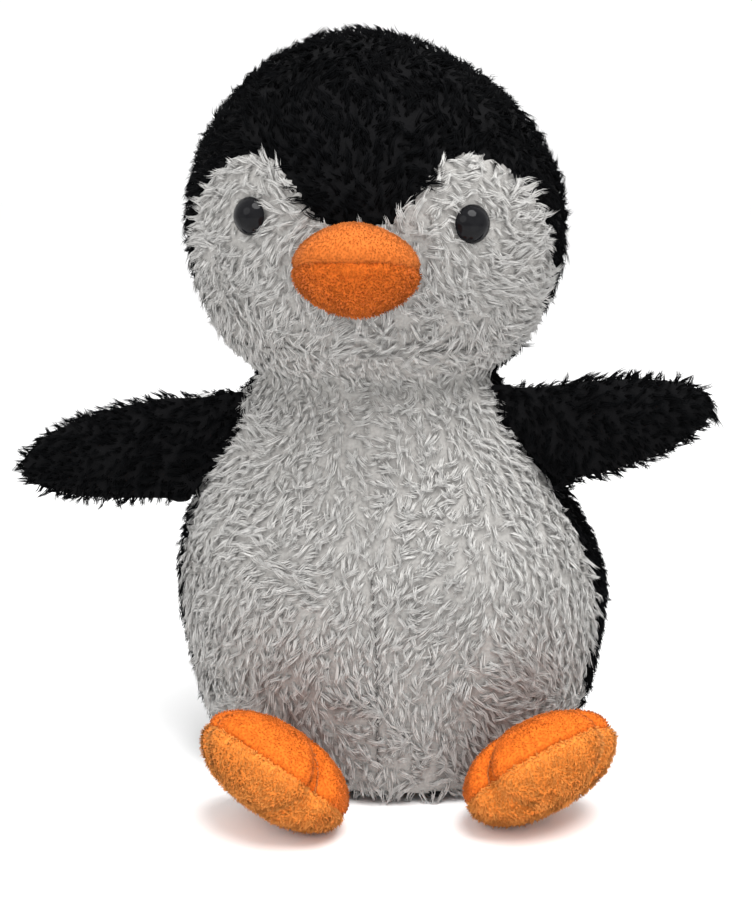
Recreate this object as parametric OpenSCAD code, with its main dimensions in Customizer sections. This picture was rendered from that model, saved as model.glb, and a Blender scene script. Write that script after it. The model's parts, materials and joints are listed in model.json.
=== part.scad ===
// Sitting plush penguin, built the way it is sewn: pile-fabric panels over stuffing,
// a bean pouch low in the body, plastic safety eyes, a stuffed beak, flippers and feet.
// Millimetres. Z is up, the toy faces -Y and its own left side is +X.
// The origin is the middle of the flat underside.

/* [Body] */
// width of the body over the pressed pile
body_w = 153; // [130:1:185]
// depth of the body from belly to back
body_d = 114; // [95:1:135]
// height of the body up to the neck opening
body_h = 134; // [112:1:160]
// sideways shift of the neck over the base, from the way the toy was stuffed
lean = 6; // [0:0.5:10]
// half angle of the white belly, measured at the body's upright axis
belly_angle = 74; // [62:1:84]
// thickness of the long-pile fabric with its pile pressed
plush_t = 5; // [3:0.5:6]
// thickness of the base panel
base_t = 4; // [3:0.5:6]
// height of the bean pouch
pouch_h = 26; // [15:1:35]

/* [Head] */
// width of the head over the pressed pile
head_w = 132; // [115:1:155]
// depth of the head from face to back
head_d = 117; // [100:1:135]
// height of the crown above the widest part of the head
head_up = 65.5; // [55:0.5:78]
// depth of the full head shape below its widest part
head_down = 63; // [60:0.5:72]
// height of the widest part of the head above the neck opening
head_rise = 53; // [51:0.5:58]
// sideways shift of the crown toward the toy's right
crown_shift = 5.5; // [0:0.5:8]
// space between the body and the head around the neck
neck_gap = 6.25; // [6.25:0.25:8]
// radius of the stuffing plug that passes through the neck
neck_r = 29; // [20:1:31]

/* [Face] */
// height of the white eye patches, as an angle above the widest part of the head
patch_top = 21; // [10:1:30]
// angle between the face's middle and the highest point of each white patch
patch_out = 33; // [25:1:42]
// diameter of the eye domes
eye_d = 12; // [8:0.5:15]
// angle of each eye from the middle of the face
eye_out = 33; // [24:1:38]
// height of the left eye, as an angle above the widest part of the head
left_eye_up = 1; // [-5:0.5:8]
// height of the right eye, as an angle above the widest part of the head
right_eye_up = 3; // [-5:0.5:8]
// depth the eyes sink into the pile
eye_sink = 2.5; // [1:0.25:3]

/* [Beak] */
// width of the beak where it meets the face
beak_w = 40; // [28:1:50]
// height of the beak where it meets the face
beak_h = 29; // [20:1:34]
// length of the beak out from the face
beak_l = 21; // [12:1:30]
// distance of the beak's middle below the widest part of the head
beak_drop = 13; // [8:0.5:16]
// rise of the beak's tip
beak_rise = 4; // [0:0.5:8]
// thickness of the short-pile orange fabric
minky_t = 2; // [1.5:0.25:3]

/* [Flippers] */
// length of a flipper out from its seam
wing_l = 55; // [45:1:70]
// width of the left flipper along its seam
left_wing_w = 41; // [34:1:46]
// width of the right flipper along its seam
right_wing_w = 49; // [38:1:52]
// thickness of a stuffed flipper
wing_t = 18; // [12:0.5:22]
// distance of the middle of the left flipper's seam below the neck opening
left_wing_drop = 20; // [19:1:30]
// distance of the middle of the right flipper's seam below the neck opening
right_wing_drop = 24; // [21:1:32]
// downward slant of the left flipper from square to its seam
left_droop = 14; // [0:1:35]
// downward slant of the right flipper from square to its seam
right_droop = 29; // [0:1:35]

/* [Feet] */
// length of a foot
foot_l = 47; // [38:1:56]
// width of a foot
foot_w = 51; // [40:1:54]
// thickness of a stuffed foot
foot_t = 27; // [16:0.5:30]
// sideways position of the left foot
left_foot_x = 52; // [36:1:58]
// sideways position of the right foot
right_foot_x = 30; // [28:1:58]
// space under the heels
foot_lift = 0.45; // [0.4:0.05:4]
// turn of the feet outward
foot_yaw = 10; // [0:1:20]
// roll of the feet, outer edge up
foot_roll = 25; // [0:1:36]
// pitch of the feet, toes up
foot_pitch = 35; // [15:1:40]

/* [Hidden] */
gap = 0.4;
thread_r = 0.5;
head_c = [-lean, 0, body_h + head_rise];
neck_v = -asin((head_rise - neck_gap) / head_down);
pear = [0.78, 0.88, 0.945, 0.985, 1, 0.945, 0.83, 0.71, 0.61];
pear_deep = [0.91, 0.965, 0.985, 1, 0.985, 0.93, 0.82, 0.71, 0.62];
side_gap = 0.25;
brow_cols = [side_gap, 5, 10, 15, 20, 26, 33, 40, 47, 54, 61, 68, 74, 79, 83, 86];
back_cols = [89.9, 98, 107, 118, 130, 142, 155, 168, 180 - side_gap];
base_z = base_t + gap;
stuff_z = base_z + pouch_h + gap;
wing_root_r = 5;
toe_a = 56;
washer_t = 1.2;
shank_r = 2;

// smooth curve through evenly spaced values, k from 0 to 1
function at(list, i) = list[max(0, min(len(list) - 1, i))];
function spline(a, b, c, d, f) =
    b + f / 2 * (c - a + f * (2 * a - 5 * b + 4 * c - d + f * (3 * (b - c) + d - a)));
function curve(list, k) =
    let (x = k * (len(list) - 1), i = min(floor(x), len(list) - 2))
    spline(at(list, i - 1), at(list, i), at(list, i + 1), at(list, i + 2), x - i);
function ease(k) = let (c = max(0, min(1, k))) c * c * (3 - 2 * c);
function steps(a, b, n) = [for (i = [0:n]) a + (b - a) * i / n];
function unit(v) = v / norm(v);

// body surface: angle a from the front, height z, set in from the outside
function lean_x(z) = -lean * ease((z / body_h - 0.35) / 0.6);
function body_pt(a, z, in, s) =
    let (f = curve(pear, z / body_h), g = curve(pear_deep, z / body_h))
    [lean_x(z) + s * (body_w / 2 * f - in) * sin(a), -(body_d / 2 * g - in) * cos(a), z];

// head surface: angle a from the front, angle v above the widest part
function head_pt(a, v, in, s) =
    let (k = pow(max(0, cos(v)), v > 0 ? 1.2 : 0.85), up = max(0, sin(v)))
    head_c + [
        s * (head_w / 2 - in) * k * sin(a) - crown_shift * up * up,
        -(head_d / 2 - in) * k * cos(a),
        ((v > 0 ? head_up : head_down) - in) * sin(v)];

// depth of the face's surface at a place near the front
function head_front(x, z) =
    let (k = pow(1 - pow(z / (z > 0 ? head_up : head_down), 2), z > 0 ? 1.2 : 0.85))
    head_d / 2 * sqrt(k - pow(2 * x / head_w, 2));

// lower edge of the black cap over the face
function brow(a) =
    let (k = max(0, a - patch_out) / 35, wedge = 1 - ease((a - 5) / (patch_out - 6)))
    max(neck_v + 1, patch_top - 21 * wedge - 24 * pow(k, 2.2));

// closed sheet between an outer and an inner grid of columns, each column a list of rows
module shell(outer, inner, tip = false, wrap = false, flip = false) {
    nc = len(outer);
    nr = len(outer[0]);
    full = tip ? nr - 1 : nr;
    half = nc * full + (tip ? 1 : 0);
    span = wrap ? nc : nc - 1;
    grid = function (g) concat([for (c = g, r = [0:full - 1]) c[r]], tip ? [g[0][nr - 1]] : []);
    id = function (c, r) r < full ? (c % nc) * full + r : nc * full;
    skin = [for (c = [0:span - 1], r = [0:nr - 2], k = [0:1])
        if (k == 0 || r + 1 < full)
            k == 0 ? [id(c, r), id(c + 1, r + 1), id(c + 1, r)]
                : [id(c, r), id(c, r + 1), id(c + 1, r + 1)]];
    low = [for (c = [0:span - 1], k = [0:1])
        let (a = id(c, 0), b = id(c + 1, 0))
        k == 0 ? [a, b, b + half] : [a, b + half, a + half]];
    high = [for (c = [0:span - 1], k = [0:1])
        let (a = id(c, nr - 1), b = id(c + 1, nr - 1))
        if (!tip) k == 0 ? [a, b + half, b] : [a, a + half, b + half]];
    ends = [for (e = [0:1], r = [0:nr - 2], k = [0:1])
        let (c = e * (nc - 1), a = id(c, r), b = id(c, r + 1))
        if (!wrap) e == 0
            ? (k == 0 ? [a, b + half, b] : [a, a + half, b + half])
            : (k == 0 ? [a, b, b + half] : [a, b + half, a + half])];
    inside = [for (f = skin) [f[0] + half, f[2] + half, f[1] + half]];
    faces = concat(skin, inside, low, high, ends);
    polyhedron(concat(grid(outer), grid(inner)),
        flip ? [for (f = faces) [f[0], f[2], f[1]]] : faces, convexity = 6);
}

// closed solid inside one grid whose columns go all the way round
module blob(outer, tip = false) {
    nc = len(outer);
    nr = len(outer[0]);
    full = tip ? nr - 1 : nr;
    id = function (c, r) r < full ? (c % nc) * full + r : nc * full;
    skin = [for (c = [0:nc - 1], r = [0:nr - 2], k = [0:1])
        if (k == 0 || r + 1 < full)
            k == 0 ? [id(c, r), id(c + 1, r + 1), id(c + 1, r)]
                : [id(c, r), id(c, r + 1), id(c + 1, r + 1)]];
    floor_face = [[for (c = [0:nc - 1]) id(c, 0)]];
    roof_face = tip ? [] : [[for (c = [nc - 1:-1:0]) id(c, nr - 1)]];
    polyhedron(concat([for (c = outer, r = [0:full - 1]) c[r]], tip ? [outer[0][nr - 1]] : []),
        concat(skin, floor_face, roof_face), convexity = 6);
}

// round thread along a path, one ring of points at each step
module thread(path, r = thread_r, up = [0, 0, 1]) {
    n = len(path);
    ring = [for (k = [0:n - 1])
        let (t = unit(path[min(n - 1, k + 1)] - path[max(0, k - 1)]),
            u = unit(cross(t, up)), w = cross(u, t))
        [for (q = [0:5]) path[k] + r * (cos(60 * q) * u + sin(60 * q) * w)]];
    cols = [for (q = [0:5]) [for (k = [0:n - 1]) ring[k][5 - q]]];
    blob(cols);
}

// ---- body ----

module base_panel() {
    color([0.02, 0.02, 0.02])
    linear_extrude(base_t)
    polygon([for (a = [0:7.5:352.5])
        [body_w / 2 * pear[0] * sin(a), -body_d / 2 * pear_deep[0] * cos(a)]]);
}

module body_panel(a0, a1, n, s) {
    cols = function (in) [for (a = steps(a0, a1, n))
        [for (z = steps(base_z, body_h, 12)) body_pt(a, z, in, s)]];
    shell(cols(0), cols(plush_t), flip = s < 0);
}

module belly_left() {
    color([0.9, 0.89, 0.87]) body_panel(side_gap, belly_angle - side_gap, 9, 1);
}

module belly_right() {
    color([0.9, 0.89, 0.87]) body_panel(side_gap, belly_angle - side_gap, 9, -1);
}

module back_left() {
    color([0.03, 0.03, 0.035]) body_panel(belly_angle + side_gap, 180 - side_gap, 12, 1);
}

module back_right() {
    color([0.03, 0.03, 0.035]) body_panel(belly_angle + side_gap, 180 - side_gap, 12, -1);
}

// ring columns of the inside of the body between two heights
function body_ring(in, z0, z1, n) =
    [for (a = [0:15:345]) [for (z = steps(z0, z1, n)) body_pt(a, z, in, 1)]];

module torso_stuffing() {
    color([0.95, 0.95, 0.95]) blob(body_ring(plush_t + 2 * gap, stuff_z, body_h - gap, 9));
}

module bean_pouch() {
    color([0.8, 0.8, 0.78])
    difference() {
        blob(body_ring(plush_t + gap, base_z, stuff_z - gap, 4));
        blob(body_ring(plush_t + gap + 1, base_z + 1, stuff_z - gap - 1, 4));
    }
}

module bean_fill() {
    color([0.7, 0.72, 0.7])
    blob(body_ring(plush_t + gap + 1.3, base_z + 1.3, stuff_z - gap - 1.3, 4));
}

module belly_thread() {
    color([0.75, 0.73, 0.7])
    thread([for (z = steps(base_z + 2, body_h - 6, 16))
        body_pt(0, z, -thread_r - 0.3, 1)], up = [1, 0, 0]);
}

// ---- neck ----

neck_mid = body_h + neck_gap / 2;

module neck_stuffing() {
    color([0.95, 0.95, 0.95])
    translate([-lean, 0, body_h + gap]) {
        cylinder(h = neck_gap, r = neck_r, $fn = 64);
        translate([0, 0, neck_gap]) cylinder(h = 3.8, r1 = neck_r, r2 = 8, $fn = 64);
    }
}

module neck_thread() {
    color([0.1, 0.1, 0.1])
    translate([-lean, 0, neck_mid])
    rotate_extrude($fn = 64)
    translate([neck_r + 0.9, 0]) circle(r = 0.8, $fn = 16);
}

// ---- head ----

function eye_up(s) = s > 0 ? left_eye_up : right_eye_up;

module head_frame(a, v) {
    n = [sin(a) * cos(v) / head_w, -cos(a) * cos(v) / head_d, sin(v) / head_up / 2];
    turn = atan2(n[0], -n[1]);
    tilt = asin(n[2] / norm(n));
    translate(head_pt(a, v, 0, 1)) rotate([0, 0, turn]) rotate([90 - tilt, 0, 0]) children();
}

module eye_cut(s) {
    mirror_x(s)
    head_frame(eye_out, eye_up(s)) {
        translate([0, 0, -eye_sink - gap]) cylinder(h = 12, r = eye_d / 2 + gap, $fn = 40);
        translate([0, 0, -14]) cylinder(h = 20, r = shank_r + 0.2, $fn = 32);
    }
}

// mirrored copy across the head's own middle for the right side
module mirror_x(s) {
    translate([-lean, 0, 0]) scale([s, 1, 1]) translate([lean, 0, 0]) children();
}

module face_panel(s) {
    cols = function (in) [for (a = brow_cols)
        [for (v = steps(neck_v, brow(a) - 0.35, 8)) head_pt(a, v, in, s)]];
    difference() {
        shell(cols(0), cols(plush_t), flip = s < 0);
        eye_cut(s);
    }
}

module cap_panel(s) {
    cols = function (in) [for (a = concat(brow_cols, back_cols))
        let (v0 = a < 89 ? brow(a) + 0.35 : neck_v)
        [for (v = steps(v0, 90, 9)) v > 89.9 ? head_pt(0, 90, in, s) + [s * 0.2, 0, 0]
            : head_pt(a, v, in, s)]];
    shell(cols(0), cols(plush_t), tip = true, flip = s < 0);
}

module face_left() {
    color([0.9, 0.89, 0.87]) face_panel(1);
}

module face_right() {
    color([0.9, 0.89, 0.87]) face_panel(-1);
}

module cap_left() {
    color([0.03, 0.03, 0.035]) cap_panel(1);
}

module cap_right() {
    color([0.03, 0.03, 0.035]) cap_panel(-1);
}

module washer_cut(s) {
    mirror_x(s)
    head_frame(eye_out, eye_up(s))
    translate([0, 0, -plush_t - 6]) cylinder(h = 12, r = eye_d / 2 + 1.5, $fn = 40);
}

module head_stuffing() {
    in = plush_t + 2 * gap;
    v0 = -asin((head_rise - neck_gap - 6) / (head_down - in));
    color([0.95, 0.95, 0.95])
    difference() {
        blob([for (a = [0:15:345]) [for (v = steps(v0, 90, 9)) head_pt(a, v, in, 1)]], tip = true);
        washer_cut(1);
        washer_cut(-1);
    }
}

module eye(s) {
    color([0.01, 0.01, 0.01])
    mirror_x(s)
    head_frame(eye_out, eye_up(s))
    translate([0, 0, -eye_sink]) {
        intersection() {
            translate([0, 0, -2.2]) sphere(r = eye_d / 2 + 0.4, $fn = 48);
            cylinder(h = eye_d, r = eye_d / 2, $fn = 48);
        }
        translate([0, 0, -7]) cylinder(h = 7.4, r = shank_r, $fn = 32);
    }
}

module eye_washer(s) {
    color([0.9, 0.9, 0.9])
    mirror_x(s)
    head_frame(eye_out, eye_up(s))
    translate([0, 0, -plush_t - 1 - washer_t])
    difference() {
        cylinder(h = washer_t, r = eye_d / 2 + 0.8, $fn = 48);
        translate([0, 0, -1]) cylinder(h = washer_t + 2, r = shank_r + 0.1, $fn = 32);
    }
}

module eye_left() {
    eye(1);
}

module eye_right() {
    eye(-1);
}

module eye_washer_left() {
    eye_washer(1);
}

module eye_washer_right() {
    eye_washer(-1);
}

// ---- beak ----

// beak surface: angle a round the beak, angle b from its base to its tip
function beak_pt(a, b, in, lift) =
    let (c = pow(cos(b), 0.8),
        x = (beak_w / 2 - in) * sign(cos(a)) * pow(abs(cos(a)), 1.2) * c,
        z = (beak_h / 2 - in) * sin(a) * c - beak_drop + beak_rise * sin(b),
        y = head_front(x, z))
    head_c + [x, -y - lift - (beak_l - in) * sin(b), z];

function beak_cols(a0, a1, n, in, lift) = [for (a = steps(a0, a1, n))
    [for (b = steps(0, 90, 6)) b > 89 ? beak_pt(90, 90, in, lift) + [0, 0, a0 < 90 ? 0.2 : -0.2]
        : beak_pt(a, b, in, lift)]];

module beak_upper() {
    color([0.9, 0.45, 0.12])
    shell(beak_cols(0.8, 179.2, 12, 0, gap), beak_cols(0.8, 179.2, 12, minky_t, gap),
        tip = true, flip = true);
}

module beak_lower() {
    color([0.85, 0.4, 0.1])
    shell(beak_cols(180.8, 359.2, 12, 0, gap), beak_cols(180.8, 359.2, 12, minky_t, gap),
        tip = true, flip = true);
}

module beak_stuffing() {
    in = minky_t + gap;
    color([0.95, 0.95, 0.95])
    shell([for (a = [0:20:340]) [for (b = steps(0, 90, 5)) beak_pt(a, b, in, gap + 0.3)]],
        [for (a = [0:20:340]) [for (b = steps(0, 90, 5)) beak_flat(a, b, in)]],
        tip = true, wrap = true, flip = true);
}

// back face of the beak's stuffing, lying on the face fabric
function beak_flat(a, b, in) =
    let (c = cos(b),
        x = (beak_w / 2 - in - 0.5) * sign(cos(a)) * pow(abs(cos(a)), 1.2) * c,
        z = (beak_h / 2 - in - 0.5) * sin(a) * c - beak_drop,
        y = head_front(x, z))
    head_c + [x, -y - gap, z];

// ---- flippers ----

// frame of a flipper's seam: middle, outward, across and along the seam
function wing_frame(s) =
    let (z = body_h - (s > 0 ? left_wing_drop : right_wing_drop),
        lo = body_pt(belly_angle, z - 18, 0, s),
        hi = body_pt(belly_angle, z + 18, 0, s),
        along = unit(hi - lo),
        out = unit(cross(along, [0, -s, 0])),
        side = unit([s * sin(belly_angle) / body_w, -cos(belly_angle) / body_d, 0]),
        face = unit(side - (side * along) * along),
        across = s * cross(along, out))
    [(lo + hi) / 2 + (wing_root_r + 1) * face, out, across, along];

// flipper surface: distance x out from the seam, angle a round it
function wing_pt(x, a, in, s) =
    let (f = wing_frame(s),
        k = max(0, min(1, x / (wing_l - in))),
        taper = 1 - pow(k, 3.4),
        w = s > 0 ? left_wing_w : right_wing_w,
        h = (w / 2 - in) * (1 - 0.25 * k) * pow(taper, 0.5),
        r = wing_root_r - in,
        root = x < 0 ? sqrt(max(0, r * r - x * x)) : r + (wing_t / 2 - wing_root_r) * ease(x / 26),
        t = root * sqrt(taper),
        droop = tan(s > 0 ? left_droop : right_droop))
    f[0] + x * f[1] - t * sin(a) * f[2] + (h * cos(a) - max(0, x) * droop) * f[3];

function wing_rows(in) = concat([for (q = [-90, -55, -25]) sin(q) * (wing_root_r - in)],
    [for (k = [0, 0.15, 0.32, 0.5, 0.66, 0.8, 0.9, 0.965, 1]) k * (wing_l - in)]);

function wing_cols(a0, a1, n, in, s) = [for (a = steps(a0, a1, n))
    [for (x = wing_rows(in)) wing_pt(x, a, in, s)
        + (x > wing_l - in - 0.01 ? (a0 < 180 ? -0.2 : 0.2) : 0) * wing_frame(s)[2]]];

module wing_panel(front, s) {
    a0 = front ? 3 : 183;
    a1 = front ? 177 : 357;
    shell(wing_cols(a0, a1, 10, 0, s), wing_cols(a0, a1, 10, 3, s), tip = true, flip = s < 0);
}

module wing_stuffing(s) {
    in = 3 + gap;
    rows = [for (k = [0, 0.15, 0.35, 0.55, 0.72, 0.86, 0.95, 1]) k * (wing_l - in)];
    cols = [for (a = [0:24:336]) [for (x = rows) wing_pt(x, s * a, in, s)]];
    color([0.95, 0.95, 0.95]) blob(cols, tip = true);
}

module wing_left_front() {
    color([0.03, 0.03, 0.035]) wing_panel(true, 1);
}

module wing_left_back() {
    color([0.03, 0.03, 0.035]) wing_panel(false, 1);
}

module wing_left_stuffing() {
    wing_stuffing(1);
}

module wing_right_front() {
    color([0.03, 0.03, 0.035]) wing_panel(true, -1);
}

module wing_right_back() {
    color([0.03, 0.03, 0.035]) wing_panel(false, -1);
}

module wing_right_stuffing() {
    wing_stuffing(-1);
}

// ---- feet ----

// reach of a foot's outline in direction a from straight ahead, with two toe notches
function toe(a) = let (d = abs((a + 540) % 360 - 180)) exp(-pow((d - toe_a) / 9, 2));
function foot_reach(a, in) =
    let (x = foot_w / 2 - in, y = foot_l / 2 - in)
    (1 - 0.15 * toe(a)) / pow(pow(abs(sin(a)) / x, 2.4) + pow(abs(cos(a)) / y, 2.4), 1 / 2.4);

// foot surface in its own frame: direction a, angle b up from the seam
function foot_local(a, b, in, up) =
    let (r = foot_reach(a, in) * pow(cos(b), 0.9), k = cos(b))
    [r * sin(a), -r * cos(a), up * (foot_t / 2 - in) * sin(b) * (1 - 0.3 * k * toe(a)) + up * 0.2];

function rot_x(p, q) = [p[0], p[1] * cos(q) - p[2] * sin(q), p[1] * sin(q) + p[2] * cos(q)];
function rot_y(p, q) = [p[0] * cos(q) + p[2] * sin(q), p[1], -p[0] * sin(q) + p[2] * cos(q)];
function rot_z(p, q) = [p[0] * cos(q) - p[1] * sin(q), p[0] * sin(q) + p[1] * cos(q), p[2]];

// foot turned as it sits, about its own middle
function foot_turn(p, s) = rot_z(rot_x(rot_y(p, -s * foot_roll), -foot_pitch), s * foot_yaw);
foot_low = min([for (a = [0:8:352], b = [0, 14, 30, 48, 68], up = [-1, 1])
    foot_turn(foot_local(a, b, 0, up), 1)[2]]);

// the front of the body at a foot's sideways position
function foot_back(x) = -body_d / 2 * 0.93 * sqrt(1 - pow(2 * x / body_w / 0.95, 2));
function foot_place(x, s) = [s * x, foot_back(x) - foot_l / 2 - 2, foot_lift - foot_low];
left_foot_c = foot_place(left_foot_x, 1);
right_foot_c = foot_place(right_foot_x, -1);
function foot_world(p, s) = (s > 0 ? left_foot_c : right_foot_c) + foot_turn(p, s);
function foot_cols(in, up, s) = [for (a = [0:8:352])
    [for (b = [0, 14, 30, 48, 68, 90])
        foot_world(foot_local(s * a, b, in, up), s)]];

module foot_panel(up, s) {
    shell(foot_cols(0, up, s), foot_cols(minky_t, up, s), tip = true, wrap = true,
        flip = up * s > 0);
}

module foot_stuffing(s) {
    in = minky_t + 2 * gap;
    cols = [for (a = [0:8:352]) [for (b = [-90, -60, -30, 0, 30, 60, 90])
        foot_world(foot_local(s * a, abs(b), in, b < 0 ? -1 : 1), s)]];
    color([0.95, 0.95, 0.95]) closed_blob(cols, s > 0);
}

// closed solid whose columns meet in a point at both ends
module closed_blob(cols, flip) {
    nc = len(cols);
    n = len(cols[0]) - 2;
    id = function (c, r) (c % nc) * n + r;
    faces = concat(
        [for (c = [0:nc - 1], r = [0:n - 2], k = [0:1])
            k == 0 ? [id(c, r), id(c + 1, r + 1), id(c + 1, r)]
                : [id(c, r), id(c, r + 1), id(c + 1, r + 1)]],
        [for (c = [0:nc - 1]) [nc * n, id(c, 0), id(c + 1, 0)]],
        [for (c = [0:nc - 1]) [id(c, n - 1), nc * n + 1, id(c + 1, n - 1)]]);
    polyhedron(concat([for (c = cols, r = [1:n]) c[r]], [cols[0][0], cols[0][n + 1]]),
        flip ? [for (f = faces) [f[0], f[2], f[1]]] : faces, convexity = 4);
}

// stitches that draw in the two channels between the toes
module toe_thread(side, s) {
    color([0.55, 0.2, 0.05])
    thread([for (b = [6, 18, 30, 42, 54, 64])
        foot_world(foot_local(side * toe_a, b, -thread_r - 0.4, 1), s)]);
}

module foot_left_top() {
    color([0.92, 0.48, 0.16]) foot_panel(1, 1);
}

module foot_left_sole() {
    color([0.9, 0.5, 0.2]) foot_panel(-1, 1);
}

module foot_left_stuffing() {
    foot_stuffing(1);
}

module foot_left_thread_inner() {
    toe_thread(-1, 1);
}

module foot_left_thread_outer() {
    toe_thread(1, 1);
}

module foot_right_top() {
    color([0.92, 0.48, 0.16]) foot_panel(1, -1);
}

module foot_right_sole() {
    color([0.9, 0.5, 0.2]) foot_panel(-1, -1);
}

module foot_right_stuffing() {
    foot_stuffing(-1);
}

module foot_right_thread_inner() {
    toe_thread(1, -1);
}

module foot_right_thread_outer() {
    toe_thread(-1, -1);
}

/* [Build] */
// part to draw: all, or the name of one node

/* [Hidden] */

base_panel();
belly_left();
belly_right();
back_left();
back_right();
torso_stuffing();
bean_pouch();
bean_fill();
belly_thread();
neck_stuffing();
neck_thread();
face_left();
face_right();
cap_left();
cap_right();
head_stuffing();
eye_left();
eye_right();
eye_washer_left();
eye_washer_right();
beak_upper();
beak_lower();
beak_stuffing();
wing_left_front();
wing_left_back();
wing_left_stuffing();
wing_right_front();
wing_right_back();
wing_right_stuffing();
foot_left_top();
foot_left_sole();
foot_left_stuffing();
foot_left_thread_inner();
foot_left_thread_outer();
foot_right_top();
foot_right_sole();
foot_right_stuffing();
foot_right_thread_inner();
foot_right_thread_outer();
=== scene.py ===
"""Looks of the plush penguin: fur, short pile, eyes, seams, floor, light and camera."""
import json
import math

import bmesh
import bpy
import numpy as np
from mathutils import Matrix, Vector
from mathutils.bvhtree import BVHTree


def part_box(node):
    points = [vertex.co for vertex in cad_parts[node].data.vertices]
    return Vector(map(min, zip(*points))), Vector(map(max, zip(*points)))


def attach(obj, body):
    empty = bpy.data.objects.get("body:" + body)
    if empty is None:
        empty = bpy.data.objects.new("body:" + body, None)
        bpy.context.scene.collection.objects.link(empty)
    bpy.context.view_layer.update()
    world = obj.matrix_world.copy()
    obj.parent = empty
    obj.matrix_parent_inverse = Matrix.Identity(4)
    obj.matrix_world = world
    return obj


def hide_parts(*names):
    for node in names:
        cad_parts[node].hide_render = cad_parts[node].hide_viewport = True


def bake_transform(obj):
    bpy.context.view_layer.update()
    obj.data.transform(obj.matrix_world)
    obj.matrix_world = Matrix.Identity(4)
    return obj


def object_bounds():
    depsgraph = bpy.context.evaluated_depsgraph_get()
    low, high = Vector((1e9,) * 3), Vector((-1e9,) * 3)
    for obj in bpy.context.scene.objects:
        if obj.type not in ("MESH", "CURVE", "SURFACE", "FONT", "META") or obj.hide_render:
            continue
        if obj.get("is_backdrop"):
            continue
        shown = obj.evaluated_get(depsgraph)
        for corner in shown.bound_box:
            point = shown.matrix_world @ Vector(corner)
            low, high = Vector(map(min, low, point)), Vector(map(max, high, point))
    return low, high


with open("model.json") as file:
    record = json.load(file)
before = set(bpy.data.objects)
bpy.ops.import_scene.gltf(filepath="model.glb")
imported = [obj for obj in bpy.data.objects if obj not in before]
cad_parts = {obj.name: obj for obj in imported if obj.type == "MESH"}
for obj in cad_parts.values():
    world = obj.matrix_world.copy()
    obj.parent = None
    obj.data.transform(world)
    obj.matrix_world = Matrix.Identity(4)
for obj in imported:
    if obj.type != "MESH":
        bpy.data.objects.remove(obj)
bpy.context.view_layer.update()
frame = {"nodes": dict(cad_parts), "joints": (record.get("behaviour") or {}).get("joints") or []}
nodes = frame["nodes"]
scene = bpy.context.scene
MM = 0.001

# ---------------------------------------------------------------- camera, floor and light

AIM = Vector((-0.0060, 0.0, 0.109))
CAM_AZIMUTH = math.radians(6.0)
CAM_ELEVATION = math.radians(10.0)
CAM_DISTANCE = 0.56
CAM_LENS = 64.9
FLOOR_HALF = 8.0
WORLD_STRENGTH = 1.06


def towards(azimuth, elevation):
    """Unit vector from the toy to a viewer at that azimuth and elevation, in radians."""
    flat = math.cos(elevation)
    return Vector((math.sin(azimuth) * flat, -math.cos(azimuth) * flat, math.sin(elevation)))


def add_camera():
    data = bpy.data.cameras.new("camera")
    data.lens = CAM_LENS
    data.clip_start = 0.01
    data.clip_end = 20
    cam = bpy.data.objects.new("camera", data)
    scene.collection.objects.link(cam)
    back = towards(CAM_AZIMUTH, CAM_ELEVATION)
    cam.location = AIM + back * CAM_DISTANCE
    cam.rotation_euler = (-back).to_track_quat("-Z", "Y").to_euler()
    scene.camera = cam


def add_light(name, azimuth, elevation, distance, size, watts):
    """Round area lamp aimed at the toy, with its direction in degrees."""
    data = bpy.data.lights.new(name, "AREA")
    data.shape = "DISK"
    data.size = size
    data.energy = watts
    lamp = bpy.data.objects.new(name, data)
    scene.collection.objects.link(lamp)
    way = towards(math.radians(azimuth), math.radians(elevation))
    lamp.location = AIM + way * distance
    lamp.rotation_euler = (-way).to_track_quat("-Z", "Y").to_euler()


def add_floor():
    mesh = bpy.data.meshes.new("floor")
    r = FLOOR_HALF
    mesh.from_pydata([(-r, -r, 0), (r, -r, 0), (r, r, 0), (-r, r, 0)], [], [(0, 1, 2, 3)])
    floor = bpy.data.objects.new("floor", mesh)
    scene.collection.objects.link(floor)
    mat = bpy.data.materials.new("floor_paper")
    mat.use_nodes = True
    bsdf = mat.node_tree.nodes["Principled BSDF"]
    bsdf.inputs["Base Color"].default_value = (0.95, 0.95, 0.95, 1)
    bsdf.inputs["Roughness"].default_value = 0.9
    bsdf.inputs["Specular IOR Level"].default_value = 0.1
    mesh.materials.append(mat)
    floor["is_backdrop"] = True


def add_world():
    world = bpy.data.worlds.new("studio")
    scene.world = world
    world.use_nodes = True
    background = world.node_tree.nodes["Background"]
    background.inputs["Color"].default_value = (1.0, 1.0, 1.0, 1)
    background.inputs["Strength"].default_value = WORLD_STRENGTH


add_camera()
add_floor()
add_world()
add_light("key", 30, 62, 1.2, 0.8, 17)
add_light("fill", -35, 30, 1.4, 0.9, 4)
scene.view_settings.view_transform = "Standard"

# ---------------------------------------------------------------- materials


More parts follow.
